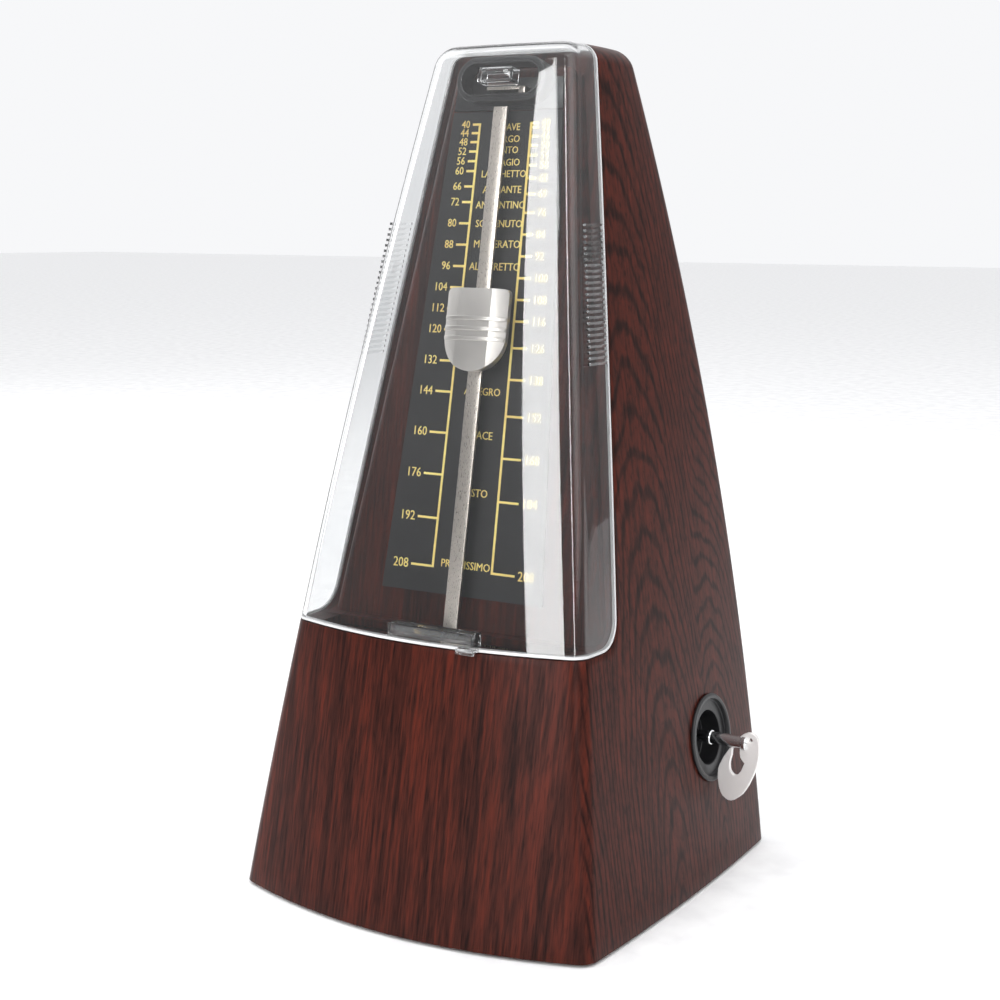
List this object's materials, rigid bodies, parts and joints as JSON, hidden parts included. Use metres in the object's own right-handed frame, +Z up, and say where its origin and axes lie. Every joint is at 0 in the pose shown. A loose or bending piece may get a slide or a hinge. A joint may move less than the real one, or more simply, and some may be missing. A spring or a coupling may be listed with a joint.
{
  "type": "wind-up pendulum metronome",
  "caption": "Tapered wood-look metronome with a clear tilting front cover, a swinging rod with a sliding weight over a tempo scale, and a side winding key.",
  "frame": {"origin": "middle of the rubber foot ring, on the surface that the metronome stands on", "axes": "+X to the right as the scale is read, +Y to the back, +Z up"},
  "size_m": [0.1085, 0.1084, 0.203],
  "materials": {
    "mahogany_case": "moulded plastic with a mahogany wood-grain film, semi-gloss",
    "mahogany_panel": "moulded plastic with a mahogany wood-grain film, semi-gloss",
    "black_base": "fine matt moulded texture",
    "foot_rubber": "matt non-slip rubber",
    "steel_screws": "zinc-plated screws",
    "clear_cover": "clear polished acrylic",
    "scale_black": "satin black plate",
    "scale_print": "pale gold print",
    "black_moulding": "semi-gloss black moulding",
    "spring_steel": "spring steel strip",
    "brass_plate": "stamped brass plate",
    "brass_turned": "turned brass",
    "plated_steel": "plated sheet steel",
    "polished_steel": "polished steel",
    "chrome_key": "bright chrome",
    "satin_key": "satin nickel",
    "satin_rod": "satin nickel strip",
    "cast_counterweight": "cast counterweight",
    "satin_weight": "satin nickel"
  },
  "bodies": {
    "case": {"case_shell": "mahogany_case", "front_panel": "mahogany_panel", "base_plate": "black_base", "foot_ring": "foot_rubber", "base_screws": "steel_screws", "scale_plate": "scale_black", "scale_marks": "scale_print", "rod_rest_hood": "black_moulding", "rod_rest_spring": "spring_steel", "key_bezel": "black_moulding", "left_frame_plate": "brass_plate", "right_frame_plate": "brass_plate", "frame_pillars": "brass_turned", "pillar_screws": "steel_screws", "front_potence": "brass_plate", "rear_potence": "brass_plate", "mount_brackets": "plated_steel", "bracket_screws": "steel_screws", "pivot_bushes": "brass_turned", "click_screw": "steel_screws", "click_spring": "spring_steel"},
    "cover": {"front_cover": "clear_cover"},
    "winding_key": {"winding_arbor": "polished_steel", "ratchet_wheel": "polished_steel", "key_shaft": "chrome_key", "key_wing": "satin_key"},
    "click": {"click": "brass_turned"},
    "barrel": {"barrel": "brass_turned", "barrel_cap": "brass_turned", "mainspring": "spring_steel", "great_wheel": "brass_turned"},
    "intermediate_wheel": {"intermediate_arbor": "polished_steel", "intermediate_pinion": "polished_steel", "intermediate_wheel": "brass_turned"},
    "crown_wheel": {"escape_arbor": "polished_steel", "escape_pinion": "polished_steel", "crown_wheel": "brass_turned"},
    "pendulum": {"verge_arbor": "polished_steel", "pallets": "polished_steel", "pendulum_hub": "brass_turned", "pendulum_rod": "satin_rod", "counterweight": "cast_counterweight"},
    "sliding_weight": {"weight_body": "satin_weight", "weight_slider": "black_moulding", "weight_spring": "spring_steel"}
  },
  "joints": [
    {"name": "pendulum_swing", "type": "hinge", "parent": "case", "child": "pendulum", "pos_m": [0, -0.0287, 0.052], "axis": [0, -0.9845, 0.1754], "range_deg": [-4.5, 4.5]},
    {"name": "weight_slide", "type": "slide", "parent": "pendulum", "child": "sliding_weight", "axis": [0, 0.1754, 0.9845], "range_m": [-0.066, 0.0392]},
    {"name": "cover_tilt", "type": "hinge", "parent": "case", "child": "cover", "pos_m": [0, -0.0412, 0.0656], "axis": [1, 0, 0], "range_deg": [0, 40]},
    {"name": "key_wind", "type": "hinge", "parent": "case", "child": "winding_key", "pos_m": [0, 0.022, 0.035], "axis": [1, 0, 0], "continuous": true},
    {"name": "click_lift", "type": "hinge", "parent": "case", "child": "click", "pos_m": [0, 0.0334, 0.038], "axis": [1, 0, 0], "range_deg": [-12, 0], "stiffness_Nm_per_rad": 0.002},
    {"name": "barrel_turn", "type": "hinge", "parent": "case", "child": "barrel", "pos_m": [0, 0.022, 0.035], "axis": [1, 0, 0], "continuous": true},
    {"name": "intermediate_turn", "type": "hinge", "parent": "case", "child": "intermediate_wheel", "pos_m": [0, -0.00061, 0.03792], "axis": [1, 0, 0], "continuous": true},
    {"name": "crown_turn", "type": "hinge", "parent": "case", "child": "crown_wheel", "pos_m": [0, -0.00901, 0.04849], "axis": [1, 0, 0], "continuous": true}
  ],
  "couplings": [
    {"joint": "intermediate_turn", "follows": "barrel_turn", "ratio": -5.3333},
    {"joint": "crown_turn", "follows": "barrel_turn", "ratio": 18.667}
  ]
}
